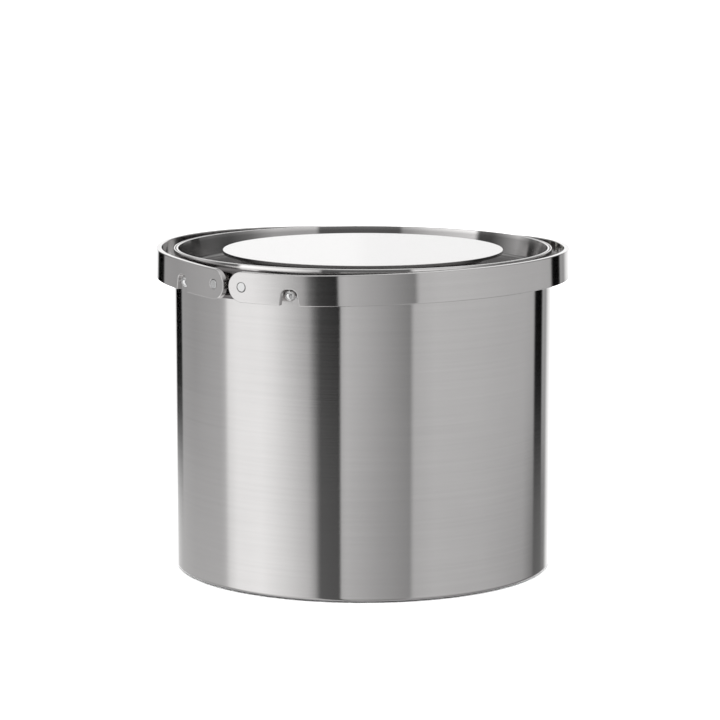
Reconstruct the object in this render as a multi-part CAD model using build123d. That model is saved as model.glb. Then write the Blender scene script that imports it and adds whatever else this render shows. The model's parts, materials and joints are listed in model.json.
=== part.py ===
from build123d import *
import math
import os

os.makedirs("parts", exist_ok=True)

# An insulated ice bucket that stands on a bar. A steel drum holds a steel liner, with foam between
# them. A flush lid is lifted by the disc in its middle, and two half-hoop handles hinge on shared
# brackets at the front and the back. The origin is the centre of the base, Z is up, and the
# hinge brackets lie on the Y axis. All lengths are in millimetres and angles in degrees.

# ---- driving dimensions -------------------------------------------------------------------
BODY_RADIUS = 91.5          # outside of the drum
RIM_HEIGHT = 155.2          # top edge of the drum and of the lid
SHELL_SHEET = 0.9           # steel of the drum
RIM_EDGE = 0.25             # rounding of the rims of the drum and the lid
FOOT_GAP = 0.7              # the drum's bottom is this far above the table
FOOT_BEND = 1.4             # outside radius of the drum's bottom corner
FOOT_FLANGE_RADIUS = 84.0   # inner edge of the drum's turned-in bottom
PLATE_SHEET = 0.9           # the plate that closes the bottom
PAD_EDGE = 0.3              # rounding of the rubber pad
FOAM_GAP = 0.1              # between the foam and the steel round it

LINER_RADIUS = 82.0         # inside of the ice well
LINER_SHEET = 0.8
WELL_FLOOR = 13.0           # inside bottom of the ice well
WELL_BEND = 12.0            # inside radius of the well's bottom corner
LIP_BEND = 1.8              # radius of the well's mouth
COLLAR_DEPTH = 4.8          # the plastic ring under the liner's flange
COLLAR_GAP = 1.2            # between that ring and the well

LID_SHEET = 1.0
LID_GAP = 0.3               # all round, between the lid's edge and the drum
TROUGH_DEPTH = 10.6         # the finger trough, measured down from the rim
TROUGH_DRAFT = 2.0          # how far the trough's outer wall leans in over its depth
PLATEAU_RADIUS = 60.0       # the raised middle of the lid, under the disc
LID_BEND = 3.0
DISC_RADIUS = 67.7
DISC_THICKNESS = 1.5
DISC_EDGE = 0.35            # rounding of the disc
DISC_SINK = 1.1             # the disc's top lies this far below the rim
PLUG_RADIUS = 80.0          # the lid's insulated plug
PLUG_DEPTH = 17.0           # bottom of the plug, measured down from the rim
SEAL_THICKNESS = 1.0
SEAL_WALL = 1.4             # the part of the seal that grips the plug
SEAL_WALL_DEPTH = 4.0
SEAT_GAP = 0.05             # between the seal and the ledge that it rests on

BAND_RADIUS = 100.0         # outside of the handles
BAND_SHEET = 2.7
BAND_HEIGHT = 14.2
BAND_EDGE = 0.3             # rounding of the band's long edges
HINGE_HEIGHT = 146.2        # hinge axes above the table
HINGE_OFFSET = 8.5          # each hinge axis from the YZ plane
REST_TILT = 1.6             # the handles rest a little above level on their pins

BRACKET_HALF_WIDTH = 14.0
BRACKET_FACE = 95.3         # flat front face of a bracket, measured from the Z axis
BRACKET_ROUND = 2.0
SPOT_FACE = 97.0            # flat seat for the washer, milled into the band
SPOT_RADIUS = 3.6
WASHER_RADIUS = 3.3
RIVET_RADIUS = 1.5
RIVET_HEAD_RADIUS = 2.15
HEAD_SEAT = 98.6            # floor of the counterbore for the rivet's head
RUNNING_GAP = 0.04          # between the parts of a turning joint

NOTCH_ANGLE = 19.0          # round the drum, from the hinge brackets to the rest pins
NOTCH_HEIGHT = 7.6
NOTCH_ARCH_RADIUS = 3.5
NOTCH_FOOT_HALF_WIDTH = 4.7
PIN_BALL_RADIUS = 2.7
PIN_BALL_CENTRE = 97.3      # from the Z axis
PIN_STEM_RADIUS = 1.4
PIN_FOOT_RADIUS = 2.6
PIN_FOOT_REACH = 0.8        # how far a pin's foot stands out from the drum
PIN_REST_GAP = 0.35         # between a ball and the arch above it

SHELL_INSIDE = BODY_RADIUS - SHELL_SHEET
LID_RADIUS = SHELL_INSIDE - LID_GAP
TROUGH_UNDERSIDE = RIM_HEIGHT - TROUGH_DEPTH - LID_SHEET
LEDGE_HEIGHT = TROUGH_UNDERSIDE - SEAL_THICKNESS - SEAT_GAP
DISC_TOP = RIM_HEIGHT - DISC_SINK
PLATEAU_UNDERSIDE = DISC_TOP - DISC_THICKNESS - LID_SHEET
PLUG_BOTTOM = RIM_HEIGHT - PLUG_DEPTH
HALF_BAND = BAND_HEIGHT / 2

ENDS = {"front": -1, "back": 1}      # sign of Y
SIDES = {"left": -1, "right": 1}     # sign of X


# ---- shapes used more than once -----------------------------------------------------------
def turned(face):
    """The solid made by turning a face in the XZ plane about Z."""
    return revolve(Plane.XZ * face, Axis.Z)


def pressed(path, bends, sheet, side):
    """Sheet metal of even thickness turned about Z: the path is one of its faces, in (r, z)."""
    line = FilletPolyline(*path, radius=bends)
    return turned(make_face(offset(line, amount=sheet, side=side)))


def ring(inside, outside, low, high):
    """A plain ring or, with an inside radius of 0, a disc."""
    body = Pos(0, 0, (low + high) / 2) * Cylinder(outside, high - low)
    if inside > 0:
        body -= Pos(0, 0, (low + high) / 2) * Cylinder(inside, high - low + 2)
    return body


def along_y(x, z, radius, near, far, end):
    """A cylinder parallel to Y, from near to far from the XZ plane, on one end of the bucket."""
    middle = end * (near + far) / 2
    return Pos(x, middle, z) * Rot(90, 0, 0) * Cylinder(radius, far - near)


def round_edges(solid, edges, radius):
    """The solid with the given edges rounded."""
    return fillet(edges, radius) if edges else solid


def circles_at(solid, height):
    """The circular edges of a turned solid that lie at one height."""
    return [
        edge for edge in solid.edges().filter_by(GeomType.CIRCLE)
        if abs(edge.center().Z - height) < 1e-4 and edge.bounding_box().size.Z < 1e-4
    ]


# ---- the insulated drum -------------------------------------------------------------------
def outer_shell():
    """The drum: a drawn steel tube whose bottom edge is turned in to carry the base."""
    path = [(BODY_RADIUS, RIM_HEIGHT), (BODY_RADIUS, FOOT_GAP), (FOOT_FLANGE_RADIUS, FOOT_GAP)]
    shell = pressed(path, [FOOT_BEND], SHELL_SHEET, Side.RIGHT)
    return round_edges(shell, circles_at(shell, RIM_HEIGHT), RIM_EDGE)


def base_plate():
    """A flat steel disc that lies on the drum's turned-in flange and closes the bottom."""
    low = FOOT_GAP + SHELL_SHEET
    return ring(0, SHELL_INSIDE - FOOT_BEND + SHELL_SHEET - 0.2, low, low + PLATE_SHEET)


def base_pad():
    """A rubber pad that sits in the flange's opening and spreads under the flange."""
    pad = ring(0, BODY_RADIUS - FOOT_BEND - 0.8, 0, FOOT_GAP)
    pad += ring(0, FOOT_FLANGE_RADIUS - 0.2, FOOT_GAP, FOOT_GAP + SHELL_SHEET)
    return round_edges(pad, circles_at(pad, 0), PAD_EDGE)


def inner_liner():
    """The ice well: a deep drawn steel cup with a flat flange for the lid to rest on."""
    path = [
        (SHELL_INSIDE - 0.02, LEDGE_HEIGHT), (LINER_RADIUS, LEDGE_HEIGHT),
        (LINER_RADIUS, WELL_FLOOR), (0, WELL_FLOOR),
    ]
    return pressed(path, [LIP_BEND, WELL_BEND], LINER_SHEET, Side.LEFT)


COLLAR_LOW = LEDGE_HEIGHT - LINER_SHEET - COLLAR_DEPTH
FOAM_LOW = WELL_FLOOR - LINER_SHEET
FOAM_INSIDE = LINER_RADIUS + LINER_SHEET + FOAM_GAP
FOAM_OUTSIDE = SHELL_INSIDE - FOAM_GAP


def liner_collar():
    """A plastic ring under the liner's flange that centres the liner in the drum."""
    return ring(FOAM_INSIDE + COLLAR_GAP, FOAM_OUTSIDE, COLLAR_LOW, LEDGE_HEIGHT - LINER_SHEET)


def insulation_sleeve():
    """Foam between the drum's wall and the ice well."""
    return ring(FOAM_INSIDE, FOAM_OUTSIDE, FOAM_LOW, COLLAR_LOW)


def insulation_base():
    """Foam under the ice well."""
    return ring(0, FOAM_OUTSIDE - 2 * FOAM_GAP, FOOT_GAP + SHELL_SHEET + PLATE_SHEET, FOAM_LOW)


# ---- the lid ------------------------------------------------------------------------------
def lid_pan():
    """The lid's pressed top: an edge flush with the rim, a finger trough and a raised middle."""
    inside = PLATEAU_RADIUS - LID_SHEET
    path = [
        (LID_RADIUS, RIM_HEIGHT), (LID_RADIUS - TROUGH_DRAFT, TROUGH_UNDERSIDE),
        (inside, TROUGH_UNDERSIDE), (inside, PLATEAU_UNDERSIDE), (0, PLATEAU_UNDERSIDE),
    ]
    pan = pressed(path, [LID_BEND, LID_BEND, LID_BEND], LID_SHEET, Side.RIGHT)
    return round_edges(pan, circles_at(pan, RIM_HEIGHT), RIM_EDGE)


def lid_disc():
    """A flat steel disc, wider than the raised middle so that fingers hook under its edge."""
    disc = ring(0, DISC_RADIUS, DISC_TOP - DISC_THICKNESS, DISC_TOP)
    return round_edges(disc, disc.edges().filter_by(GeomType.CIRCLE), DISC_EDGE)


def lid_underside():
    """A shallow steel cup below the lid that closes the insulated plug."""
    path = [(PLUG_RADIUS, TROUGH_UNDERSIDE), (PLUG_RADIUS, PLUG_BOTTOM), (0, PLUG_BOTTOM)]
    return pressed(path, [LID_BEND], LINER_SHEET, Side.RIGHT)


def lid_insulation():
    """Foam that fills the plug and the raised middle of the lid."""
    wide = PLUG_RADIUS - LINER_SHEET - FOAM_GAP
    narrow = PLATEAU_RADIUS - LID_SHEET - FOAM_GAP
    low = PLUG_BOTTOM + LINER_SHEET
    path = [
        (0, low), (wide, low), (wide, TROUGH_UNDERSIDE), (narrow, TROUGH_UNDERSIDE),
        (narrow, PLATEAU_UNDERSIDE), (0, PLATEAU_UNDERSIDE),
    ]
    line = FilletPolyline(*path, radius=[LID_BEND, 0, 0, LID_BEND + 2 * FOAM_GAP])
    line += Line((0, PLATEAU_UNDERSIDE), (0, low))
    return turned(make_face(line))


def lid_seal():
    """A silicone ring round the plug, with a flat rim that lies on the liner's ledge."""
    outside = PLUG_RADIUS + SEAL_WALL
    seal = ring(PLUG_RADIUS, outside, TROUGH_UNDERSIDE - SEAL_WALL_DEPTH, TROUGH_UNDERSIDE)
    low = TROUGH_UNDERSIDE - SEAL_THICKNESS
    return seal + ring(outside, LID_RADIUS - LID_BEND, low, TROUGH_UNDERSIDE)


# ---- hinges and rest pins -----------------------------------------------------------------
def hinge_bracket(end):
    """A steel block welded to the drum, with a flat face and holes for two rivets."""
    middle = (BRACKET_FACE + BODY_RADIUS) / 2
    depth = 2 * (BRACKET_FACE - middle) + 8
    block = Box(2 * BRACKET_HALF_WIDTH, depth, BAND_HEIGHT)
    block = Pos(0, end * (BRACKET_FACE - depth / 2), HINGE_HEIGHT) * block
    front = block.faces().sort_by(Axis.Y)[-1 if end > 0 else 0]
    block = fillet(front.edges(), BRACKET_ROUND)
    block -= Pos(0, 0, HINGE_HEIGHT) * Cylinder(BODY_RADIUS, 2 * BAND_HEIGHT)
    for side in SIDES.values():
        block -= along_y(side * HINGE_OFFSET, HINGE_HEIGHT, RIVET_RADIUS, 80, 110, end)
    return block


def pivot_washer(end, side):
    """A nylon washer between a bracket and a handle."""
    x = side * HINGE_OFFSET
    high = SPOT_FACE - RUNNING_GAP
    washer = along_y(x, HINGE_HEIGHT, WASHER_RADIUS, BRACKET_FACE, high, end)
    return washer - along_y(x, HINGE_HEIGHT, RIVET_RADIUS + RUNNING_GAP, 80, 110, end)


def pivot_rivet(end, side):
    """A rivet pressed into a bracket; its head is ground flush with the handle."""
    x = side * HINGE_OFFSET
    foot = BODY_RADIUS - 0.2
    head_low = HEAD_SEAT + RUNNING_GAP
    rivet = along_y(x, HINGE_HEIGHT, RIVET_RADIUS, foot, head_low + 0.2, end)
    rivet += along_y(x, HINGE_HEIGHT, RIVET_HEAD_RADIUS, head_low, BAND_RADIUS + 1, end)
    return rivet & Pos(0, 0, HINGE_HEIGHT) * Cylinder(BAND_RADIUS - 0.02, BAND_HEIGHT)


def rest_place(end, side):
    """Where a rest pin's ball stands: its azimuth and height, under the notch of a resting band."""
    azimuth = math.degrees(math.atan2(end, 0)) - end * side * NOTCH_ANGLE
    arm = (BAND_RADIUS - BAND_SHEET / 2) * math.sin(math.radians(NOTCH_ANGLE)) - HINGE_OFFSET
    drop = HALF_BAND - NOTCH_HEIGHT + NOTCH_ARCH_RADIUS
    tilt = math.radians(REST_TILT)
    arch_centre = HINGE_HEIGHT + arm * math.sin(tilt) - drop * math.cos(tilt)
    return azimuth, arch_centre + NOTCH_ARCH_RADIUS - PIN_REST_GAP - PIN_BALL_RADIUS


def rest_pin(end, side):
    """A ball-ended stud welded to the drum; a handle's notch comes to rest over the ball."""
    azimuth, height = rest_place(end, side)
    stem = Pos((BODY_RADIUS + PIN_BALL_CENTRE) / 2 - 0.5, 0, 0) * Rot(0, 90, 0)
    pin = stem * Cylinder(PIN_STEM_RADIUS, PIN_BALL_CENTRE - BODY_RADIUS + 1)
    pin += Pos(BODY_RADIUS, 0, 0) * Rot(0, 90, 0) * Cylinder(PIN_FOOT_RADIUS, 2 * PIN_FOOT_REACH)
    pin += Pos(PIN_BALL_CENTRE, 0, 0) * Sphere(PIN_BALL_RADIUS)
    pin -= Cylinder(BODY_RADIUS, 10 * PIN_BALL_RADIUS)
    return Pos(0, 0, height) * Rot(0, 0, azimuth) * pin


# ---- the handles --------------------------------------------------------------------------
def notch_cutter(end, side):
    """The arched notch of a band, before the band is tilted: open below, with flared legs."""
    foot = -HALF_BAND - 1
    arch = NOTCH_HEIGHT - HALF_BAND - NOTCH_ARCH_RADIUS
    wide = NOTCH_FOOT_HALF_WIDTH
    legs = Polygon(
        (-wide, foot), (wide, foot), (NOTCH_ARCH_RADIUS, arch), (-NOTCH_ARCH_RADIUS, arch),
        align=None,
    )
    outline = legs + Pos(0, arch) * Circle(NOTCH_ARCH_RADIUS)
    cutter = extrude(Plane.YZ * outline, amount=BAND_SHEET * 4)
    azimuth, _ = rest_place(end, side)
    return Rot(0, 0, azimuth) * Pos(BAND_RADIUS - 2 * BAND_SHEET, 0, 0) * cutter


def handle(side):
    """A half hoop of flat band with round ends, a hinge hole at each end and two notches."""
    section = RectangleRounded(BAND_SHEET, BAND_HEIGHT, BAND_EDGE)
    section = Pos(BAND_RADIUS - BAND_SHEET / 2, 0) * section
    hoop = turned(section)
    reach = BAND_RADIUS + 10
    outline = Pos(side * (HINGE_OFFSET + reach / 2), 0) * Rectangle(reach, BAND_HEIGHT)
    outline += Pos(side * HINGE_OFFSET, 0) * Circle(HALF_BAND)
    band = hoop & extrude(Plane.XZ * outline, amount=reach, both=True)
    for end in ENDS.values():
        x = side * HINGE_OFFSET
        band -= along_y(x, 0, RIVET_RADIUS + RUNNING_GAP, 80, reach, end)
        band -= along_y(x, 0, RIVET_HEAD_RADIUS + RUNNING_GAP, HEAD_SEAT, reach, end)
        band -= along_y(x, 0, SPOT_RADIUS, 80, SPOT_FACE, end)
        band -= notch_cutter(end, side)
    axis = Axis((side * HINGE_OFFSET, 0, 0), (0, -side, 0))
    return Pos(0, 0, HINGE_HEIGHT) * band.rotate(axis, REST_TILT)


# ---- every sub-part, written to its own file ----------------------------------------------
nodes = {
    "outer_shell": outer_shell(),
    "base_plate": base_plate(),
    "base_pad": base_pad(),
    "inner_liner": inner_liner(),
    "liner_collar": liner_collar(),
    "insulation_sleeve": insulation_sleeve(),
    "insulation_base": insulation_base(),
    "lid_pan": lid_pan(),
    "lid_disc": lid_disc(),
    "lid_underside": lid_underside(),
    "lid_insulation": lid_insulation(),
    "lid_seal": lid_seal(),
}
for side_name, side in SIDES.items():
    nodes[f"handle_{side_name}"] = handle(side)
for end_name, end in ENDS.items():
    nodes[f"hinge_bracket_{end_name}"] = hinge_bracket(end)
    for side_name, side in SIDES.items():
        place = f"{end_name}_{side_name}"
        nodes[f"pivot_rivet_{place}"] = pivot_rivet(end, side)
        nodes[f"pivot_washer_{place}"] = pivot_washer(end, side)
        nodes[f"rest_pin_{place}"] = rest_pin(end, side)

for name, node in nodes.items():
    export_step(node, f"parts/{name}.step")
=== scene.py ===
import bmesh
import bpy
import json
import math
import numpy as np
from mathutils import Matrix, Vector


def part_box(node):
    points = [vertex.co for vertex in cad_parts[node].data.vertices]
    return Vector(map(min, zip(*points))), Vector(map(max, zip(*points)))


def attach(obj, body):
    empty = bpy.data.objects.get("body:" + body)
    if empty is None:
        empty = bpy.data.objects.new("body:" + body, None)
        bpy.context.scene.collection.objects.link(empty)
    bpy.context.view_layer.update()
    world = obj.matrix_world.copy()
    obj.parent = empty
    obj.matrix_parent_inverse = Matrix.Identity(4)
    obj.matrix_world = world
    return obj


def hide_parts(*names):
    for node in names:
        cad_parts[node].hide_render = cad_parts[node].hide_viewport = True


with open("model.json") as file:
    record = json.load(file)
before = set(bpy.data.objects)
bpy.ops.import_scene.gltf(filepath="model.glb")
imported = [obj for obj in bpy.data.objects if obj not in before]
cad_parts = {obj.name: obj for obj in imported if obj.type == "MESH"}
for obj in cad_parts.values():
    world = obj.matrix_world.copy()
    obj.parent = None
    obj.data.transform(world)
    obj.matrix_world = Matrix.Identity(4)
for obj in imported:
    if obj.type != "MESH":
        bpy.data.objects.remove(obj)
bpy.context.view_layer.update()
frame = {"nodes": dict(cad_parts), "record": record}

# An insulated steel ice bucket. Every visible piece of steel is a numpy surface that takes its
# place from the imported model; lengths are in metres.

MM = 0.001
LEFT, RIGHT = -1, 1
FRONT, BACK = -1, 1
SIDE_NAMES = {LEFT: "left", RIGHT: "right"}
END_NAMES = {FRONT: "front", BACK: "back"}


# ---- sizes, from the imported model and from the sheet-metal details it has ------------------
def low(node):
    """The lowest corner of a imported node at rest."""
    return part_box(node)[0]


def high(node):
    """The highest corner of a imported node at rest."""
    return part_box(node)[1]


joints = {joint["name"]: joint for joint in frame["record"]["behaviour"]["joints"]}
hinge_place = joints["right_handle_hinge"]["pos_m"]

BODY_RADIUS = high("outer_shell")[0]
RIM = high("outer_shell")[2]
SHELL_BOTTOM = low("outer_shell")[2]
SHELL_SHEET = 0.9 * MM
FLANGE_RADIUS = 84.0 * MM
FOOT_BEND = 1.4 * MM
EDGE_ROUND = 0.15 * MM
RIM_LEAN = 0.25 * MM
LEAN_DEPTH = 1.2 * MM
LEAN_BEND = 8.0 * MM

LID_RADIUS = high("lid_pan")[0]
LID_SHEET = 1.0 * MM
LID_BEND = 3.0 * MM
TROUGH_UNDERSIDE = low("lid_pan")[2]
PLATEAU_TOP = low("lid_disc")[2]
PLATEAU_RADIUS = 60.0 * MM
TROUGH_DRAFT = 2.0 * MM
DISC_RADIUS = high("lid_disc")[0]
DISC_TOP = high("lid_disc")[2]
PLUG_RADIUS = high("lid_underside")[0]
PLUG_BOTTOM = low("lid_underside")[2]

LINER_SHEET = 0.8 * MM
LINER_FLANGE = high("inner_liner")[0]
LINER_LEDGE = high("inner_liner")[2]
LINER_BOTTOM = low("inner_liner")[2]
LINER_RADIUS = 82.0 * MM
WELL_BEND = 12.0 * MM
LIP_BEND = 1.8 * MM
HIDDEN_EDGE = 0.2 * MM

HINGE_OFFSET = hinge_place[0]
HINGE_HEIGHT = hinge_place[2]
BAND_RADIUS = 100.0 * MM
BAND_SHEET = 2.7 * MM
BAND_HEIGHT = 14.2 * MM
BAND_EDGE = 0.4 * MM
REST_TILT = math.radians(1.6)
STRAIGHT_END = math.radians(7.8)
SPRUNG_ANGLE = math.radians(25)
SPRUNG_LIFT = {LEFT: 0.0 * MM, RIGHT: -0.35 * MM}
SPRUNG_TWIST = {LEFT: 1.1 * MM, RIGHT: -0.75 * MM}
HEAD_RADIUS = 2.15 * MM
HEAD_SEAT = 98.6 * MM
HEAD_EDGE = 0.3 * MM
HEAD_PROUD = 0.05 * MM
SHANK_RADIUS = 1.5 * MM
BORE_PLAY = 0.12 * MM
BORE_CHAMFER = 0.3 * MM
RIVET_FACE_REACH = 9.0 * MM
NOTCH_ANGLE = math.radians(19.0)
NOTCH_HEIGHT = 7.6 * MM
NOTCH_HALF_WIDTH = 4.7 * MM
NOTCH_TOP_HALF_WIDTH = 3.5 * MM
NOTCH_TOP_BEND = 3.2 * MM
NOTCH_FOOT_BEND = 0.5 * MM
BALL_RADIUS = 2.7 * MM
BALL_CENTRE = 97.3 * MM
PIN_STEM = 1.4 * MM
PIN_FOOT = 2.6 * MM
PIN_FOLLOWS = 0.7
BRACKET_FACE = 95.3 * MM
BRACKET_HALF_WIDTH = 14.0 * MM
BRACKET_ROUND = 2.0 * MM
BRACKET_CORNER = 2.2 * MM


# ---- outlines ------------------------------------------------------------------------------
def right_of(direction):
    """The unit vector a quarter turn clockwise from a direction, which points out of an outline."""
    return np.stack([direction[..., 1], -direction[..., 0]], -1)


def rounded_outline(corners, closed):
    """Points and outward normals of a polygon with each corner turned into an arc.
    Corners are (x, y, radius), anticlockwise. An arc starts radius * tan(turn / 2) before its
    corner, and its points are its centre plus or minus the radius times the outward normal."""
    xy = np.array([corner[:2] for corner in corners])
    points, normals = [], []
    for index, (x, y, radius) in enumerate(corners):
        inner = closed or 0 < index < len(corners) - 1
        if not inner:
            other = 1 if index == 0 else index - 1
            along = (xy[other] - xy[index]) * (1 if index == 0 else -1)
            points.append(xy[index][None])
            normals.append(right_of(along / np.linalg.norm(along))[None])
            continue
        arriving = xy[index] - xy[index - 1]
        leaving = xy[(index + 1) % len(corners)] - xy[index]
        arriving = arriving / np.linalg.norm(arriving)
        leaving = leaving / np.linalg.norm(leaving)
        cross = arriving[0] * leaving[1] - arriving[1] * leaving[0]
        turn = math.atan2(cross, float(arriving @ leaving))
        sign = 1 if turn > 0 else -1
        start = xy[index] - arriving * radius * math.tan(abs(turn) / 2)
        angle = np.linspace(0, turn, max(4, int(abs(turn) / math.radians(9))) + 1)
        heading = np.stack([
            arriving[0] * np.cos(angle) - arriving[1] * np.sin(angle),
            arriving[0] * np.sin(angle) + arriving[1] * np.cos(angle),
        ], -1)
        outward = right_of(heading)
        centre = start - sign * radius * right_of(arriving)
        points.append(centre + sign * radius * outward)
        normals.append(outward)
    return np.concatenate(points), np.concatenate(normals)


def with_steps(points, normals, longest):
    """The same open outline, with extra points so that no step is longer than the limit."""
    length = np.concatenate([[0], np.cumsum(np.linalg.norm(np.diff(points, axis=0), axis=1))])
    even = np.linspace(0, length[-1], int(length[-1] / longest) + 2)
    spots = np.unique(np.concatenate([length, even]).round(9))
    dense = [np.interp(spots, length, column) for column in np.hstack([points, normals]).T]
    dense = np.stack(dense, -1)
    unit = dense[:, 2:] / np.linalg.norm(dense[:, 2:], axis=1, keepdims=True)
    return dense[:, :2], unit


# ---- surfaces ------------------------------------------------------------------------------
def surface(name, grids):
    """One mesh from grids of points. A grid is a dict: points and normals are (rows, columns, 3),
    across and along are each point's distances for the UV map, skip marks cells left open, and
    flip turns the faces over. Points that meet are merged, which closes seams and poles."""
    verts, given, cells, maps = [], [], [], []
    count = 0
    for grid in grids:
        points = grid["points"]
        rows, columns = points.shape[:2]
        index = count + np.arange(rows * columns).reshape(rows, columns)
        a, b = index[:-1, :-1], index[1:, :-1]
        c, d = index[1:, 1:], index[:-1, 1:]
        quads = np.stack([a, b, c, d], -1)
        uv = np.stack(np.broadcast_arrays(grid["across"], grid["along"]), -1)
        uv = np.broadcast_to(uv, (rows, columns, 2))
        corner_uv = np.stack([uv[:-1, :-1], uv[1:, :-1], uv[1:, 1:], uv[:-1, 1:]], -2)
        keep = ~grid.get("skip", np.zeros(quads.shape[:2], bool))
        if grid.get("flip"):
            quads, corner_uv = quads[..., ::-1], corner_uv[..., ::-1, :]
        cells.append(quads[keep])
        maps.append(corner_uv[keep])
        verts.append(points.reshape(-1, 3))
        given.append(grid["normals"].reshape(-1, 3))
        count += rows * columns
    verts, given = np.concatenate(verts), np.concatenate(given)
    cells, maps = np.concatenate(cells), np.concatenate(maps)

    mesh = bpy.data.meshes.new(name)
    mesh.vertices.add(len(verts))
    mesh.vertices.foreach_set("co", verts.ravel())
    mesh.loops.add(cells.size)
    mesh.loops.foreach_set("vertex_index", cells.ravel())
    mesh.polygons.add(len(cells))
    mesh.polygons.foreach_set("loop_start", np.arange(0, cells.size, 4))
    mesh.update(calc_edges=True)
    layer = mesh.uv_layers.new(name="brushing")
    layer.data.foreach_set("uv", maps.ravel())
    stored = mesh.attributes.new("given", "FLOAT_VECTOR", "POINT")
    stored.data.foreach_set("vector", given.ravel())

    work = bmesh.new()
    work.from_mesh(mesh)
    bmesh.ops.remove_doubles(work, verts=work.verts, dist=0.001 * MM)
    bmesh.ops.dissolve_degenerate(work, edges=work.edges, dist=0.0005 * MM)
    work.to_mesh(mesh)
    work.free()
    mesh.polygons.foreach_set("use_smooth", np.ones(len(mesh.polygons), bool))
    kept = np.zeros(len(mesh.vertices) * 3)
    mesh.attributes["given"].data.foreach_get("vector", kept)
    mesh.normals_split_custom_set_from_vertices(kept.reshape(-1, 3))
    mesh.attributes.remove(mesh.attributes["given"])

    piece = bpy.data.objects.new(name, mesh)
    bpy.context.scene.collection.objects.link(piece)
    return piece


def turned(name, corners, closed, segments=360):
    """A solid of revolution: each point (r, z) of the outline goes to (r cos t, r sin t, z), for t
    right round. An open outline starts and ends on the axis."""
    points, normals = rounded_outline(corners, closed)
    if closed:
        points, normals = np.vstack([points, points[:1]]), np.vstack([normals, normals[:1]])
    step = np.linalg.norm(np.diff(points, axis=0), axis=1)
    across = np.concatenate([[0], np.cumsum(step)])
    t = np.linspace(0, 2 * np.pi, segments + 1)[:, None]
    ring = np.stack([points[:, 0] * np.cos(t), points[:, 0] * np.sin(t), points[:, 1] + 0 * t], -1)
    facing = np.stack(
        [normals[:, 0] * np.cos(t), normals[:, 0] * np.sin(t), normals[:, 1] + 0 * t], -1)
    along = t * points[:, 0].max()
    return surface(name, [{"points": ring, "normals": facing, "across": across, "along": along}])


# ---- materials -----------------------------------------------------------------------------
def add_node(tree, kind, values, **settings):
    """A new node with its settings; a value that is a socket is joined up, others are set."""
    node = tree.nodes.new(kind)
    for key, value in settings.items():
        setattr(node, key, value)
    for key, value in values.items():
        if isinstance(value, bpy.types.NodeSocket):
            tree.links.new(value, node.inputs[key])
        else:
            node.inputs[key].default_value = value
    return node


class Nodes:
    """A material's node tree, with short calls to add a node and to set the shader's sockets."""

    def __init__(self, name):
        self.material = bpy.data.materials.new(name)
        self.material.use_nodes = True
        self.tree = self.material.node_tree
        self.shader = self.tree.nodes["Principled BSDF"]

    def add(self, kind, values=None, **settings):
        return add_node(self.tree, kind, values or {}, **settings)

    def shade(self, **values):
        for key, value in values.items():
            socket = self.shader.inputs[key.replace("_", " ")]
            if isinstance(value, bpy.types.NodeSocket):
                self.tree.links.new(value, socket)
            else:
                socket.default_value = value


def brushed_steel(name, colour, roughness, line_depth, blotch, painted_shade=None):
    """Steel with fine lines along the piece. Line noise is squeezed across the lines and long
    along them; it varies the tint, the roughness and a very shallow bump. A painted shade can
    be given as two heights and a share: the steel keeps that share of its colour below the
    first height and all of it above the second, a shade painted low on the piece."""
    nodes = Nodes(name)
    place = nodes.add("ShaderNodeTexCoord").outputs["Object"]
    uv = nodes.add("ShaderNodeUVMap", uv_map="brushing").outputs["UV"]
    across = nodes.add("ShaderNodeSeparateXYZ", {"Vector": uv}).outputs["X"]
    flat = nodes.add("ShaderNodeSeparateXYZ", {"Vector": place})
    reach = nodes.add("ShaderNodeCombineXYZ", {
        "X": flat.outputs["X"], "Y": flat.outputs["Y"], "Z": across})
    fine_place = nodes.add("ShaderNodeMapping", {
        "Vector": reach.outputs[0], "Scale": (14, 14, 3200)})
    wide_place = nodes.add("ShaderNodeMapping", {
        "Vector": reach.outputs[0], "Scale": (9, 9, 650)})
    fine = nodes.add("ShaderNodeTexNoise", {
        "Vector": fine_place.outputs[0], "Scale": 1.0, "Detail": 3.0})
    wide = nodes.add("ShaderNodeTexNoise", {
        "Vector": wide_place.outputs[0], "Scale": 1.0, "Detail": 2.0})
    cloud = nodes.add("ShaderNodeTexNoise", {"Vector": place, "Scale": 38.0, "Detail": 3.0})
    lines = nodes.add("ShaderNodeMath", {0: fine.outputs[0], 1: wide.outputs[0]}, operation="ADD")
    rough = nodes.add("ShaderNodeMapRange", {
        "Value": lines.outputs[0], "From Min": 0.6, "From Max": 1.4,
        "To Min": roughness * 0.9, "To Max": roughness * 1.12})
    tint = nodes.add("ShaderNodeMapRange", {
        "Value": wide.outputs[0], "From Min": 0.3, "From Max": 0.7,
        "To Min": 1 - blotch, "To Max": 1.0})
    cloudy = nodes.add("ShaderNodeMapRange", {
        "Value": cloud.outputs[0], "From Min": 0.3, "From Max": 0.7,
        "To Min": 1 - blotch, "To Max": 1.0})
    shade = nodes.add("ShaderNodeMath", {
        0: tint.outputs[0], 1: cloudy.outputs[0]}, operation="MULTIPLY")
    if painted_shade:
        dark = nodes.add("ShaderNodeMapRange", {
            "Value": flat.outputs["Z"], "From Min": painted_shade[0], "From Max": painted_shade[1],
            "To Min": painted_shade[2], "To Max": 1.0})
        shade = nodes.add("ShaderNodeMath", {
            0: shade.outputs[0], 1: dark.outputs[0]}, operation="MULTIPLY")
    painted = nodes.add("ShaderNodeVectorMath", {
        0: colour, "Scale": shade.outputs[0]}, operation="SCALE")
    bump = nodes.add("ShaderNodeBump", {
        "Height": lines.outputs[0], "Strength": 1.0, "Distance": line_depth})
    tangent = nodes.add("ShaderNodeTangent", direction_type="UV_MAP", uv_map="brushing")
    nodes.shade(
        Base_Color=painted.outputs[0], Metallic=1.0, Roughness=rough.outputs[0],
        Anisotropic=1.0, Tangent=tangent.outputs[0], Normal=bump.outputs[0])
    return nodes.material


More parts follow.
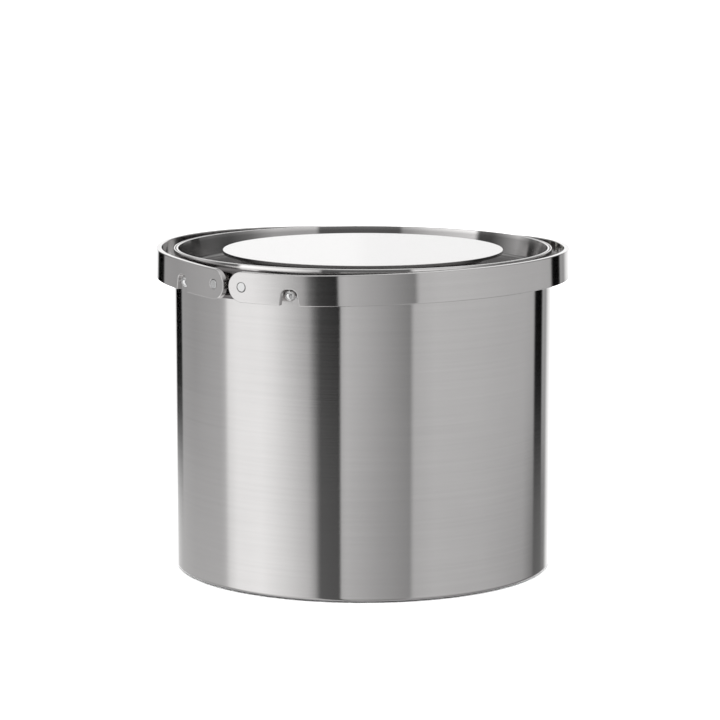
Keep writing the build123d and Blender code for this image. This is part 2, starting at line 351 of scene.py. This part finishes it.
def polished_steel(name, colour, roughness, painted_shade=None):
    """Bright steel with faint fine scratches in its roughness. A painted shade low down can be
    given as for brushed steel."""
    nodes = Nodes(name)
    place = nodes.add("ShaderNodeTexCoord").outputs["Object"]
    noise = nodes.add("ShaderNodeTexNoise", {"Vector": place, "Scale": 900.0, "Detail": 4.0})
    rough = nodes.add("ShaderNodeMapRange", {
        "Value": noise.outputs[0], "From Min": 0.35, "From Max": 0.65,
        "To Min": roughness * 0.8, "To Max": roughness * 1.3})
    nodes.shade(Base_Color=(*colour, 1), Metallic=1.0, Roughness=rough.outputs[0])
    if painted_shade:
        up = nodes.add("ShaderNodeSeparateXYZ", {"Vector": place}).outputs["Z"]
        shade = nodes.add("ShaderNodeMapRange", {
            "Value": up, "From Min": painted_shade[0], "From Max": painted_shade[1],
            "To Min": painted_shade[2], "To Max": 1.0})
        painted = nodes.add("ShaderNodeVectorMath", {
            0: colour, "Scale": shade.outputs[0]}, operation="SCALE")
        nodes.shade(Base_Color=painted.outputs[0])
    return nodes.material


def moulded(name, colour, roughness, grain_size, depth):
    """Rubber, plastic or foam: a fine grain in the colour, the roughness and the bump."""
    nodes = Nodes(name)
    place = nodes.add("ShaderNodeTexCoord").outputs["Object"]
    grain = nodes.add("ShaderNodeTexNoise", {
        "Vector": place, "Scale": 1 / grain_size, "Detail": 4.0})
    shade = nodes.add("ShaderNodeMapRange", {
        "Value": grain.outputs[0], "From Min": 0.3, "From Max": 0.7,
        "To Min": 0.85, "To Max": 1.1})
    painted = nodes.add("ShaderNodeVectorMath", {
        0: colour, "Scale": shade.outputs[0]}, operation="SCALE")
    rough = nodes.add("ShaderNodeMapRange", {
        "Value": grain.outputs[0], "From Min": 0.3, "From Max": 0.7,
        "To Min": roughness * 0.9, "To Max": min(1.0, roughness * 1.1)})
    bump = nodes.add("ShaderNodeBump", {"Height": grain.outputs[0], "Distance": depth})
    nodes.shade(
        Base_Color=painted.outputs[0], Roughness=rough.outputs[0], Normal=bump.outputs[0])
    return nodes.material


STEEL = (0.668, 0.656, 0.652)
# Painted shade: the drum's steel keeps 0.35 of its colour at the foot and all of it from 2.2 mm up,
# a painted shade where the drum meets the floor.
FOOT_PAINTED_SHADE = (0.8 * MM, 2.2 * MM, 0.35)
# Painted shade: the lid pan's steel keeps 0.62 of its colour from 2 mm below the rim down, and all
# of it from 0.4 mm below the rim up, a painted shade in the trough.
TROUGH_PAINTED_SHADE = (RIM - 2 * MM, RIM - 0.4 * MM, 0.62)
# Painted shade: the disc's steel keeps 0.45 of its colour on its side below the top, a painted
# shade where the disc stands in the trough.
EDGE_PAINTED_SHADE = (DISC_TOP - 0.25 * MM, DISC_TOP - 0.15 * MM, 0.45)
satin = brushed_steel("satin_drum_steel", STEEL, 0.09, 0.006 * MM, 0.03, FOOT_PAINTED_SHADE)
satin_band = brushed_steel("satin_band_steel", STEEL, 0.11, 0.005 * MM, 0.03)
satin_lid = brushed_steel("satin_lid_steel", STEEL, 0.12, 0.002 * MM, 0.03)
satin_pan = brushed_steel("satin_pan_steel", STEEL, 0.12, 0.002 * MM, 0.03, TROUGH_PAINTED_SHADE)
# Painted shade: the brackets' steel is painted dark, a painted shade for the gap between the bands
# and the drum.
painted_shade_block = brushed_steel("shaded_block_steel", (0.22, 0.21, 0.21), 0.12, 0.002 * MM, 0.03)
smooth_disc = polished_steel("smooth_disc_steel", STEEL, 0.12, EDGE_PAINTED_SHADE)
bright = polished_steel("bright_pin_steel", (0.74, 0.74, 0.74), 0.04)
ground = polished_steel("ground_rivet_steel", (0.68, 0.68, 0.68), 0.2)
rubber = moulded("base_rubber", (0.035, 0.035, 0.035), 0.75, 0.6 * MM, 0.03 * MM)
silicone = moulded("seal_silicone", (0.36, 0.36, 0.37), 0.55, 0.8 * MM, 0.01 * MM)
nylon = moulded("washer_nylon", (0.66, 0.66, 0.62), 0.45, 0.5 * MM, 0.01 * MM)
collar_plastic = moulded("collar_plastic", (0.06, 0.06, 0.065), 0.5, 0.7 * MM, 0.02 * MM)
foam = moulded("rigid_foam", (0.78, 0.74, 0.6), 0.9, 1.5 * MM, 0.1 * MM)


def finish_piece(piece, material, slot, body, *nodes):
    """Gives a new piece its material, the body it rides on and what it replaces; slot is not used.
    """
    piece.data.materials.append(material)
    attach(piece, body)
    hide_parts(*nodes)


def refinish(node, material):
    """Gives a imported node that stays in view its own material."""
    piece = frame["nodes"][node]
    for spot in piece.material_slots:
        spot.link = "OBJECT"
        spot.material = material


# ---- the drum, the liner and the base ------------------------------------------------------
def drum():
    """A sheet outline turned about Z: the wall, whose rim leans in a little, and the flange."""
    inside = BODY_RADIUS - SHELL_SHEET
    floor = SHELL_BOTTOM + SHELL_SHEET
    corners = [
        (FLANGE_RADIUS, SHELL_BOTTOM, EDGE_ROUND), (BODY_RADIUS, SHELL_BOTTOM, FOOT_BEND),
        (BODY_RADIUS, RIM - LEAN_DEPTH, LEAN_BEND), (BODY_RADIUS - RIM_LEAN, RIM, EDGE_ROUND),
        (inside, RIM, EDGE_ROUND), (inside, floor, FOOT_BEND - SHELL_SHEET),
        (FLANGE_RADIUS, floor, EDGE_ROUND),
    ]
    finish_piece(
        turned("drum_surface", corners, True, 720), satin, "shell_steel", "bucket", "outer_shell")


def liner():
    """A sheet outline turned about Z: a cup with a round bottom corner and a flat flange."""
    outside = LINER_RADIUS + LINER_SHEET
    under = LINER_LEDGE - LINER_SHEET
    corners = [
        (0, LINER_BOTTOM, 0), (outside, LINER_BOTTOM, WELL_BEND + LINER_SHEET),
        (outside, under, LIP_BEND - LINER_SHEET), (LINER_FLANGE, under, HIDDEN_EDGE),
        (LINER_FLANGE, LINER_LEDGE, HIDDEN_EDGE), (LINER_RADIUS, LINER_LEDGE, LIP_BEND),
        (LINER_RADIUS, LINER_BOTTOM + LINER_SHEET, WELL_BEND), (0, LINER_BOTTOM + LINER_SHEET, 0),
    ]
    finish_piece(
        turned("liner_surface", corners, False), satin_lid, "liner_steel", "bucket", "inner_liner")


# ---- the lid -------------------------------------------------------------------------------
def pan():
    """A sheet outline turned about Z: the raised middle, the trough and the wall that leans out
    up to the rim."""
    inside = PLATEAU_RADIUS - LID_SHEET
    plateau_under = PLATEAU_TOP - LID_SHEET
    floor = TROUGH_UNDERSIDE + LID_SHEET
    edge = LID_RADIUS - LID_SHEET
    corners = [
        (0, plateau_under, 0), (inside, plateau_under, LID_BEND),
        (inside, TROUGH_UNDERSIDE, LID_BEND),
        (LID_RADIUS - TROUGH_DRAFT, TROUGH_UNDERSIDE, LID_BEND),
        (LID_RADIUS, RIM, EDGE_ROUND), (edge, RIM, EDGE_ROUND),
        (edge - TROUGH_DRAFT, floor, LID_BEND - LID_SHEET),
        (PLATEAU_RADIUS, floor, LID_BEND - LID_SHEET),
        (PLATEAU_RADIUS, PLATEAU_TOP, LID_BEND + LID_SHEET), (0, PLATEAU_TOP, 0),
    ]
    finish_piece(
        turned("pan_surface", corners, False, 720), satin_pan, "lid_steel", "lid", "lid_pan")


def disc():
    """A flat rectangle with small round corners, turned about Z."""
    corners = [
        (0, PLATEAU_TOP, 0), (DISC_RADIUS, PLATEAU_TOP, EDGE_ROUND),
        (DISC_RADIUS, DISC_TOP, EDGE_ROUND), (0, DISC_TOP, 0),
    ]
    finish_piece(
        turned("disc_surface", corners, False, 540), smooth_disc, "disc_steel", "lid", "lid_disc")


def plug():
    """A sheet outline turned about Z: a shallow cup, open above."""
    inside = PLUG_RADIUS - LINER_SHEET
    corners = [
        (0, PLUG_BOTTOM, 0), (PLUG_RADIUS, PLUG_BOTTOM, LID_BEND),
        (PLUG_RADIUS, TROUGH_UNDERSIDE, HIDDEN_EDGE), (inside, TROUGH_UNDERSIDE, HIDDEN_EDGE),
        (inside, PLUG_BOTTOM + LINER_SHEET, LID_BEND - LINER_SHEET),
        (0, PLUG_BOTTOM + LINER_SHEET, 0),
    ]
    finish_piece(
        turned("plug_surface", corners, False), satin_lid, "liner_steel", "lid", "lid_underside")


drum()
liner()
pan()
disc()
plug()


# ---- the handles ---------------------------------------------------------------------------
def bent(side, s, t, radius):
    """Bends the flat band round the bucket: s is the way round from the front, measured on the
    band's outside, t the height above its middle and radius the distance from the axis. Both
    ends run on straight past the bending. The band is then sprung out of true a little and
    tilted to the rest position."""
    angle, past = bending(s)
    x = radius * np.sin(angle) + past * np.cos(angle)
    y = -radius * np.cos(angle) + past * np.sin(angle)
    return tilted(side, x, y, t + sprung(side, s / BAND_RADIUS))


def bending(s):
    """The angle the band has turned through at place s, and the straight run past the bending."""
    angle = np.clip(s / BAND_RADIUS, STRAIGHT_END, math.pi - STRAIGHT_END)
    return angle, s - angle * BAND_RADIUS


def sprung(side, angle):
    """How far above true the band lies at an angle round from the front: lift + twist *
    cos(angle), which fades in by sin^2 over the first 25 degrees from the front and the back."""
    from_hinge = np.minimum(angle, math.pi - angle)
    fade = np.sin(np.pi / 2 * np.clip(from_hinge / SPRUNG_ANGLE, 0, 1)) ** 2
    return (SPRUNG_LIFT[side] + SPRUNG_TWIST[side] * np.cos(angle)) * fade


def tilted(side, x, y, z):
    """Turns points at the height of the hinge about the right handle's axis by the rest tilt,
    lifts them to that height and mirrors them for the left handle."""
    arm = x - HINGE_OFFSET
    c, s = math.cos(REST_TILT), math.sin(REST_TILT)
    return np.stack(np.broadcast_arrays(
        side * (HINGE_OFFSET + arm * c - z * s), y, HINGE_HEIGHT + arm * s + z * c), -1)


def bent_normals(side, s, outward, ns, nt):
    """The direction with parts outward, along the band and up, at place s, tilted like bent."""
    angle, _ = bending(s)
    x = outward * np.sin(angle) + ns * np.cos(angle)
    y = -outward * np.cos(angle) + ns * np.sin(angle)
    c, k = math.cos(REST_TILT), math.sin(REST_TILT)
    return np.stack(np.broadcast_arrays(side * (x * c - nt * k), y, x * k + nt * c), -1)


def band_edges():
    """Lower and upper edge of the flat band from tip to tip, as matching columns of points and
    outward normals. Each tip is a quarter circle below and above; the notches are in the lower
    edge, and the upper edge has a point over each of the lower edge's."""
    half = BAND_HEIGHT / 2
    s_hinge = BAND_RADIUS * math.asin(HINGE_OFFSET / BAND_RADIUS)
    s_end = BAND_RADIUS * math.pi - s_hinge
    corners = [(s_hinge, -half, 0)]
    for s_notch in (BAND_RADIUS * NOTCH_ANGLE, BAND_RADIUS * (math.pi - NOTCH_ANGLE)):
        top = NOTCH_HEIGHT - half
        corners += [
            (s_notch - NOTCH_HALF_WIDTH, -half, NOTCH_FOOT_BEND),
            (s_notch - NOTCH_TOP_HALF_WIDTH, top, NOTCH_TOP_BEND),
            (s_notch + NOTCH_TOP_HALF_WIDTH, top, NOTCH_TOP_BEND),
            (s_notch + NOTCH_HALF_WIDTH, -half, NOTCH_FOOT_BEND),
        ]
    corners.append((s_end, -half, 0))
    points, normals = with_steps(*rounded_outline(corners, False), 1.5 * MM)
    a = np.linspace(np.pi / 2, 0, 17)[:-1]
    first = np.stack([-np.sin(a), -np.cos(a)], -1)
    last = (first * [-1, 1])[::-1]
    lower = np.vstack([[s_hinge, 0] + half * first, points, [s_end, 0] + half * last])
    lower_out = np.vstack([first, normals, last])
    upper = np.vstack([[s_hinge, 0] + half * first * [1, -1],
                       np.stack([points[:, 0], 0 * points[:, 0] + half], -1),
                       [s_end, 0] + half * last * [1, -1]])
    upper_out = np.vstack([first * [1, -1], normals * 0 + [0, 1], last * [1, -1]])
    return lower, lower_out, upper, upper_out, s_hinge, s_end


def section():
    """The band's cross-section as a loop of stations: (inset from the edge, distance from the
    axis, share of the way from lower to upper edge, outward and edgeways parts of the normal)."""
    inner = BAND_RADIUS - BAND_SHEET
    quarter = np.linspace(0, np.pi / 2, 7)
    face = np.linspace(0, 1, 9)[1:-1]
    stations = []

    def corner(angles, share, outer):
        for a in angles:
            deep = BAND_EDGE * (1 - math.cos(a))
            radius = BAND_RADIUS - deep if outer else inner + deep
            stations.append((BAND_EDGE * (1 - math.sin(a)), radius, share,
                             math.cos(a) * (1 if outer else -1), math.sin(a)))

    corner(quarter[::-1], 0, True)
    stations.extend((BAND_EDGE, BAND_RADIUS, share, 1, 0) for share in face)
    corner(quarter, 1, True)
    corner(quarter[::-1], 1, False)
    stations.extend((BAND_EDGE, inner, share, -1, 0) for share in face[::-1])
    corner(quarter, 0, False)
    stations.append(stations[0])
    return np.array(stations, dtype=float)


def handle(side):
    """The half hoop: the section carried along the band, with the outer face near each end left
    open and filled by rings that run from the edge to a counterbore round the rivet."""
    lower, lower_out, upper, upper_out, s_hinge, s_end = band_edges()
    stations = section()
    inset, radius, share, out, edge = stations.T
    low_in = lower[:, None] - inset[:, None] * lower_out[:, None]
    up_in = upper[:, None] - inset[:, None] * upper_out[:, None]
    flat = low_in + share[:, None] * (up_in - low_in)
    edgeways = np.where(share[:, None] < 0.5, lower_out[:, None], upper_out[:, None])
    s, t = flat[..., 0], flat[..., 1]
    points = bent(side, s, t, radius + 0 * s)
    normals = bent_normals(side, s, out + 0 * s, edge * edgeways[..., 0], edge * edgeways[..., 1])
    across = np.concatenate([[0], np.cumsum(np.hypot(np.diff(radius), np.diff(
        share * BAND_HEIGHT + inset * np.where(share < 0.5, 1, -1))))])
    first = int(np.searchsorted(lower[:, 0], s_hinge + RIVET_FACE_REACH))
    last = int(np.searchsorted(lower[:, 0], s_end - RIVET_FACE_REACH))
    face = (radius[:-1] == BAND_RADIUS) & (radius[1:] == BAND_RADIUS)
    skip = np.zeros((len(lower) - 1, len(stations) - 1), bool)
    skip[:first, face] = True
    skip[last:, face] = True
    grids = [{"points": points, "normals": normals, "across": across, "along": lower[:, :1],
              "skip": skip, "flip": side < 0}]
    on_face = np.flatnonzero(radius == BAND_RADIUS)
    for column, tip, hinge in ((first, 0, s_hinge), (last, len(lower) - 1, s_end)):
        step = 1 if tip < column else -1
        below = flat[column:tip:-step, on_face[0]]
        above = flat[tip:column:step, on_face[-1]]
        across_band = flat[column, on_face[::-1]]
        rim = np.vstack([below, above, across_band])
        if step < 0:
            rim = rim[::-1]
        grids.append(end_face(side, rim, hinge))
    return surface(f"{SIDE_NAMES[side]}_band", grids)


def end_face(side, rim, hinge):
    """The outer face round a rivet: rings blended from the face's rim to a circle, then a tiny
    chamfer, the counterbore's wall and its floor, which closes at the middle."""
    centre = np.array([hinge, 0])
    ray = rim - centre
    ray = ray / np.linalg.norm(ray, axis=1, keepdims=True)
    bore = HEAD_RADIUS + BORE_PLAY
    mouth = bore + BORE_CHAMFER
    shares = [0, 0.35, 0.65, 0.85, 1]
    rings = [rim + share * (centre + ray * mouth - rim) for share in shares]
    depths = [0] * len(shares)
    outs = [1.0] * len(shares)
    for size, depth, out in (
            (bore + BORE_CHAMFER * 0.3, BORE_CHAMFER * 0.3, 0.75), (bore, BORE_CHAMFER, 0.1),
            (bore, BAND_RADIUS - HEAD_SEAT, 0.0), (0, BAND_RADIUS - HEAD_SEAT, 1.0)):
        rings.append(centre + ray * size)
        depths.append(depth)
        outs.append(out)
    flat = np.stack(rings)
    out = np.array(outs)[:, None]
    inward = -ray * np.sqrt(1 - out[..., None] ** 2)
    radius = BAND_RADIUS - np.array(depths)[:, None]
    s, t = flat[..., 0], flat[..., 1]
    return {
        "points": bent(side, s, t, radius + 0 * s),
        "normals": bent_normals(side, s, out + 0 * s, inward[..., 0], inward[..., 1]),
        "across": t, "along": s, "flip": side < 0,
    }


for side in (LEFT, RIGHT):
    name = SIDE_NAMES[side]
    finish_piece(handle(side), satin_band, "band_steel", f"{name}_handle", f"handle_{name}")


# ---- brackets, rivets and pins -------------------------------------------------------------
def bracket(end):
    """A block with rounded front edges: rounded rectangles that grow from the middle of the face
    to the full size round a quarter circle, and then run back to the drum's curve."""
    half_high = BAND_HEIGHT / 2
    wide = BRACKET_HALF_WIDTH
    outline, out = rounded_outline([
        (-wide, -half_high, BRACKET_CORNER), (wide, -half_high, BRACKET_CORNER),
        (wide, half_high, BRACKET_CORNER), (-wide, half_high, BRACKET_CORNER)], True)
    outline, out = np.vstack([outline, outline[:1]]), np.vstack([out, out[:1]])
    a = np.linspace(0, np.pi / 2, 9)[:, None, None]
    curve = outline - BRACKET_ROUND * (1 - np.sin(a)) * out
    depth = BRACKET_FACE - BRACKET_ROUND * (1 - np.cos(a[..., 0])) + 0 * curve[..., 0]
    back = np.sqrt((BODY_RADIUS - 0.2 * MM) ** 2 - outline[:, 0] ** 2)
    flat = np.concatenate([curve[:1] * 0, curve, outline[None], outline[None] * 0])
    depth = np.concatenate([depth[:1], depth, back[None], back[None] * 0 + BODY_RADIUS - 0.4 * MM])
    facing = np.concatenate([[1.0], np.cos(a[:, 0, 0]), [0.0], [-1.0]])[:, None]
    edgeways = np.sqrt(np.maximum(0, 1 - facing ** 2))[..., None] * out
    points = np.stack([flat[..., 0], end * depth, HINGE_HEIGHT + flat[..., 1]], -1)
    normals = np.stack([edgeways[..., 0], end * facing + 0 * depth, edgeways[..., 1]], -1)
    return surface(f"{END_NAMES[end]}_bracket", [{
        "points": points, "normals": normals, "across": flat[..., 1], "along": flat[..., 0],
        "flip": end > 0}])


def rivet(end, side):
    """A flush head: rings of growing size whose face follows the band's straight end, a rounded
    edge, a wall down into the counterbore, and the shank behind."""
    a = np.linspace(0, np.pi / 2, 6)
    flat_radius = HEAD_RADIUS - HEAD_EDGE
    size = np.concatenate([
        np.linspace(0, flat_radius, 5), flat_radius + HEAD_EDGE * np.sin(a[1:]),
        [HEAD_RADIUS, SHANK_RADIUS, SHANK_RADIUS, 0]])
    sunk = np.concatenate([[0] * 5, HEAD_EDGE * (1 - np.cos(a[1:]))])
    t = np.linspace(0, 2 * np.pi, 65)[:, None]
    x = side * HINGE_OFFSET + size * np.cos(t)
    z = HINGE_HEIGHT + size * np.sin(t)
    slope = math.tan(STRAIGHT_END)
    corner = BAND_RADIUS * np.array([math.sin(STRAIGHT_END), math.cos(STRAIGHT_END)])
    face = corner[1] + (corner[0] - np.abs(x[:, :10])) * slope + HEAD_PROUD - sunk
    seat = HEAD_SEAT + HEAD_PROUD
    behind = np.broadcast_to([seat, seat, BODY_RADIUS, BODY_RADIUS], (65, 4))
    depth = np.hstack([face, behind])
    facing = np.concatenate([[1.0] * 5, np.cos(a[1:]), [-0.7, -0.7, 0.0, -1.0]])
    sideways = np.sqrt(1 - facing ** 2)
    lean = side * slope * facing + 0 * t
    points = np.stack([x, end * depth, z], -1)
    normals = np.stack([
        sideways * np.cos(t) + lean, end * facing + 0 * t, sideways * np.sin(t)], -1)
    normals = normals / np.linalg.norm(normals, axis=-1, keepdims=True)
    return surface(f"rivet_{END_NAMES[end]}_{SIDE_NAMES[side]}", [{
        "points": points, "normals": normals, "across": size, "along": t * HEAD_RADIUS,
        "flip": end < 0}])


def rest_pin(end, side):
    """A ball on a stem: an outline turned about a level line that points out from the drum. It
    stands higher or lower with the band that rests on it."""
    node = f"rest_pin_{END_NAMES[end]}_{SIDE_NAMES[side]}"
    angle = NOTCH_ANGLE if end == FRONT else math.pi - NOTCH_ANGLE
    height = (low(node)[2] + high(node)[2]) / 2 + PIN_FOLLOWS * float(sprung(side, angle))
    root = BODY_RADIUS - 0.3 * MM
    neck = math.asin(PIN_STEM / BALL_RADIUS)
    a = np.linspace(math.pi - neck, 0, 40)
    along = np.concatenate([
        [root, root, BODY_RADIUS + 0.6 * MM, BODY_RADIUS + 0.8 * MM, BODY_RADIUS + 1.0 * MM],
        BALL_CENTRE + BALL_RADIUS * np.cos(a)])
    size = np.concatenate([
        [0, PIN_FOOT, PIN_FOOT, PIN_FOOT - 0.2 * MM, PIN_STEM], BALL_RADIUS * np.sin(a)])
    n_along = np.concatenate([[-1, 0, 0.3, 0.9, 0.3], np.cos(a)])
    n_size = np.concatenate([[0, 1, 0.95, 0.43, 0.95], np.sin(a)])
    t = np.linspace(0, 2 * np.pi, 49)[:, None]
    turn = side * NOTCH_ANGLE
    forth = np.array([math.sin(turn), end * math.cos(turn), 0])
    aside = np.array([forth[1], -forth[0], 0])
    up = np.array([0, 0, 1])

    def place(length, width):
        return (length[None, :, None] * forth + (width * np.cos(t))[..., None] * aside
                + (width * np.sin(t))[..., None] * up)

    points = place(along, size) + [0, 0, height]
    return surface(f"pin_{END_NAMES[end]}_{SIDE_NAMES[side]}", [{
        "points": points, "normals": place(n_along, n_size), "across": along,
        "along": t * BALL_RADIUS, "flip": True}])


for end in (FRONT, BACK):
    name = END_NAMES[end]
    finish_piece(bracket(end), painted_shade_block, "bracket_steel", "bucket", f"hinge_bracket_{name}")
    for side in (LEFT, RIGHT):
        place = f"{name}_{SIDE_NAMES[side]}"
        finish_piece(rivet(end, side), ground, "rivet_steel", "bucket", f"pivot_rivet_{place}")
        finish_piece(rest_pin(end, side), bright, "pin_steel", "bucket", f"rest_pin_{place}")
        refinish(f"pivot_washer_{place}", nylon)

refinish("base_pad", rubber)
refinish("base_plate", ground)
refinish("liner_collar", collar_plastic)
refinish("lid_seal", silicone)
for node in ("insulation_sleeve", "insulation_base", "lid_insulation"):
    refinish(node, foam)


# ---- the studio ----------------------------------------------------------------------------
CAMERA_AZIMUTH = math.radians(38.7)
CAMERA_DISTANCE = 1.4365
CAMERA_HEIGHT = 0.3234
CAMERA_ASIDE = -0.0014
CAMERA_PITCH = math.radians(8.857)
CAMERA_LENS = 149.33


def camera():
    """A long lens that looks down a little at the bucket's front right."""
    data = bpy.data.cameras.new("camera")
    data.sensor_width = 36
    data.lens = CAMERA_LENS
    piece = bpy.data.objects.new("camera", data)
    c, s = math.cos(CAMERA_AZIMUTH), math.sin(CAMERA_AZIMUTH)
    piece.location = (
        CAMERA_DISTANCE * s + CAMERA_ASIDE * c, -CAMERA_DISTANCE * c + CAMERA_ASIDE * s,
        CAMERA_HEIGHT)
    piece.rotation_euler = (math.pi / 2 - CAMERA_PITCH, 0, CAMERA_AZIMUTH)
    bpy.context.scene.collection.objects.link(piece)
    bpy.context.scene.camera = piece


def floor():
    """A wide pale disc under the bucket, which the steel doesn't mirror: rings of points at
    (size cos t, size sin t, 0)."""
    t = np.linspace(0, 2 * np.pi, 97)[:, None]
    size = np.array([0, 0.3, 1, 4, 12])
    points = np.stack([size * np.cos(t), size * np.sin(t), 0 * size + 0 * t], -1)
    piece = surface("floor", [{
        "points": points, "normals": np.broadcast_to([0.0, 0.0, 1.0], points.shape),
        "across": size, "along": t, "flip": True}])
    nodes = Nodes("pale_floor")
    nodes.shade(Base_Color=(0.93, 0.93, 0.93, 1), Roughness=0.6, Specular_IOR_Level=0.2)
    piece.data.materials.append(nodes.material)
    piece.visible_glossy = False


# Brightness round the room by degrees to the right of the camera, for rays that fall gently, more
# and most steeply: soft boxes, grey walls and black flags that draw upright strips on the steel.
ROOM = [
    (-180, 1.2, 1.3, 1.4), (-160.5, 1.1, 1.2, 1.35), (-157.3, 0.0, 0.0, 0.8),
    (-144.3, 0.0, 0.0, 0.6), (-142.5, 0.42, 0.42, 0.6), (-122.5, 0.41, 0.42, 0.58),
    (-96, 0.51, 0.52, 0.61), (-92, 0.6, 0.62, 0.67), (-88.5, 1.13, 1.08, 0.93),
    (-82, 1.17, 1.18, 1.14), (-64, 1.16, 1.16, 1.2), (-55.5, 1.04, 1.06, 1.1),
    (-44, 0.71, 0.82, 0.94), (-33, 0.42, 0.62, 0.73), (-29, 0.07, 0.26, 0.55),
    (-26, 0.035, 0.14, 0.15), (-14, 0.0, 0.1, 0.13), (-13, 0.6, 0.65, 0.58),
    (-10, 0.7, 0.72, 0.62), (10.5, 0.49, 0.52, 0.46), (28.8, 0.27, 0.36, 0.36),
    (30, 0.63, 0.62, 0.58), (44, 0.7, 0.71, 0.64), (77, 0.65, 0.68, 0.6),
    (114, 0.59, 0.61, 0.45), (126.3, 0.55, 0.5, 0.24), (128.5, 0.0, 0.0, 0.17),
    (139, 0.0, 0.0, 0.19), (141, 0.44, 0.42, 0.21), (147.5, 0.37, 0.42, 0.3),
    (152.5, 0.9, 1.0, 0.85), (163, 1.25, 1.35, 1.4),
]
# The same for rays that rise, which is what the trough in the lid and the flat tops show.
RISING = [
    (-180, 1.15), (-160, 1.08), (-152, 0.1), (-134, 0.1), (-118, 0.8), (-106, 0.5), (-92, 0.12),
    (-81, 0.12), (-78, 1.75), (-45, 1.4), (-26.5, 0.8), (-24, 0.12), (28.8, 0.14), (30, 1.1),
    (60, 0.9), (78, 0.35), (95, 0.15), (115, 0.15), (128, 0.04), (150, 0.1), (160, 1.08),
]
FALLS = (-7.9, -9.8, -11.6)
# Heights are sines of a ray's angle above level: where RISING takes over from ROOM, and where
# the dim ceiling takes over from RISING. From there it brightens up to the zenith.
RISING_FULL = 0.08
CEILING_STARTS = 0.23
CEILING_FULL = 0.34
CEILING = 0.3
ZENITH = 0.9
SOFT_LIGHT = 3.0


def room():
    """The world: brightness from the direction's angle round the room and from how steeply it
    falls or rises. Dull surfaces are lit by an even soft light instead, which keeps the floor
    plain, and the camera itself sees plain white past the bucket."""
    world = bpy.data.worlds.new("room")
    world.use_nodes = True
    bpy.context.scene.world = world
    tree = world.node_tree
    tree.nodes.clear()

    def add(kind, values, **settings):
        return add_node(tree, kind, values, **settings)

    def strip(rows, column):
        """One column of a table as a ramp round the room."""
        ramp = add("ShaderNodeValToRGB", {"Fac": share.outputs[0]})
        stops = ramp.color_ramp.elements
        stops.remove(stops[-1])
        stops[0].color = (rows[0][column],) * 3 + (1,)
        stops[0].position = 0
        for row in rows[1:]:
            stop = stops.new((row[0] + 180) / 360)
            stop.color = (row[column],) * 3 + (1,)
        return ramp.outputs["Color"]

    def blend(start, end, one, two):
        """One colour below a ray's height start, the other above end."""
        share = add("ShaderNodeMapRange", {
            "Value": parts.outputs["Z"], "From Min": start, "From Max": end})
        mix = add("ShaderNodeMix", {
            "Factor": share.outputs[0], "A": one, "B": two}, data_type="RGBA")
        return mix.outputs["Result"]

    toward = add("ShaderNodeTexCoord", {}).outputs["Generated"]
    turned_room = add("ShaderNodeVectorRotate", {
        "Vector": toward, "Angle": -CAMERA_AZIMUTH}, rotation_type="Z_AXIS")
    parts = add("ShaderNodeSeparateXYZ", {"Vector": turned_room.outputs[0]})
    behind = add("ShaderNodeMath", {0: parts.outputs["Y"], 1: -1.0}, operation="MULTIPLY")
    round_room = add("ShaderNodeMath", {
        0: parts.outputs["X"], 1: behind.outputs[0]}, operation="ARCTAN2")
    share = add("ShaderNodeMapRange", {
        "Value": round_room.outputs[0], "From Min": -math.pi, "From Max": math.pi})
    high_fall, middle_fall, low_fall = [math.sin(math.radians(fall)) for fall in FALLS]
    walls = blend(middle_fall, high_fall, strip(ROOM, 2), strip(ROOM, 1))
    walls = blend(low_fall, middle_fall, strip(ROOM, 3), walls)
    walls = blend(0.0, RISING_FULL, walls, strip(RISING, 1))
    walls = blend(CEILING_STARTS, CEILING_FULL, walls, (CEILING, CEILING, CEILING, 1))
    mirrored = blend(CEILING_FULL, 1.0, walls, (ZENITH, ZENITH, ZENITH, 1))
    path = add("ShaderNodeLightPath", {})
    lit = add("ShaderNodeMix", {
        "Factor": path.outputs["Is Diffuse Ray"], "A": mirrored,
        "B": (SOFT_LIGHT, SOFT_LIGHT, SOFT_LIGHT, 1)}, data_type="RGBA")
    lights = add("ShaderNodeBackground", {"Color": lit.outputs["Result"]})
    plain = add("ShaderNodeBackground", {"Color": (1, 1, 1, 1)})
    seen = path.outputs["Is Camera Ray"]
    mix = add("ShaderNodeMixShader", {0: seen, 1: lights.outputs[0], 2: plain.outputs[0]})
    add("ShaderNodeOutputWorld", {"Surface": mix.outputs[0]})


camera()
floor()
room()
bpy.context.scene.view_settings.view_transform = "Standard"
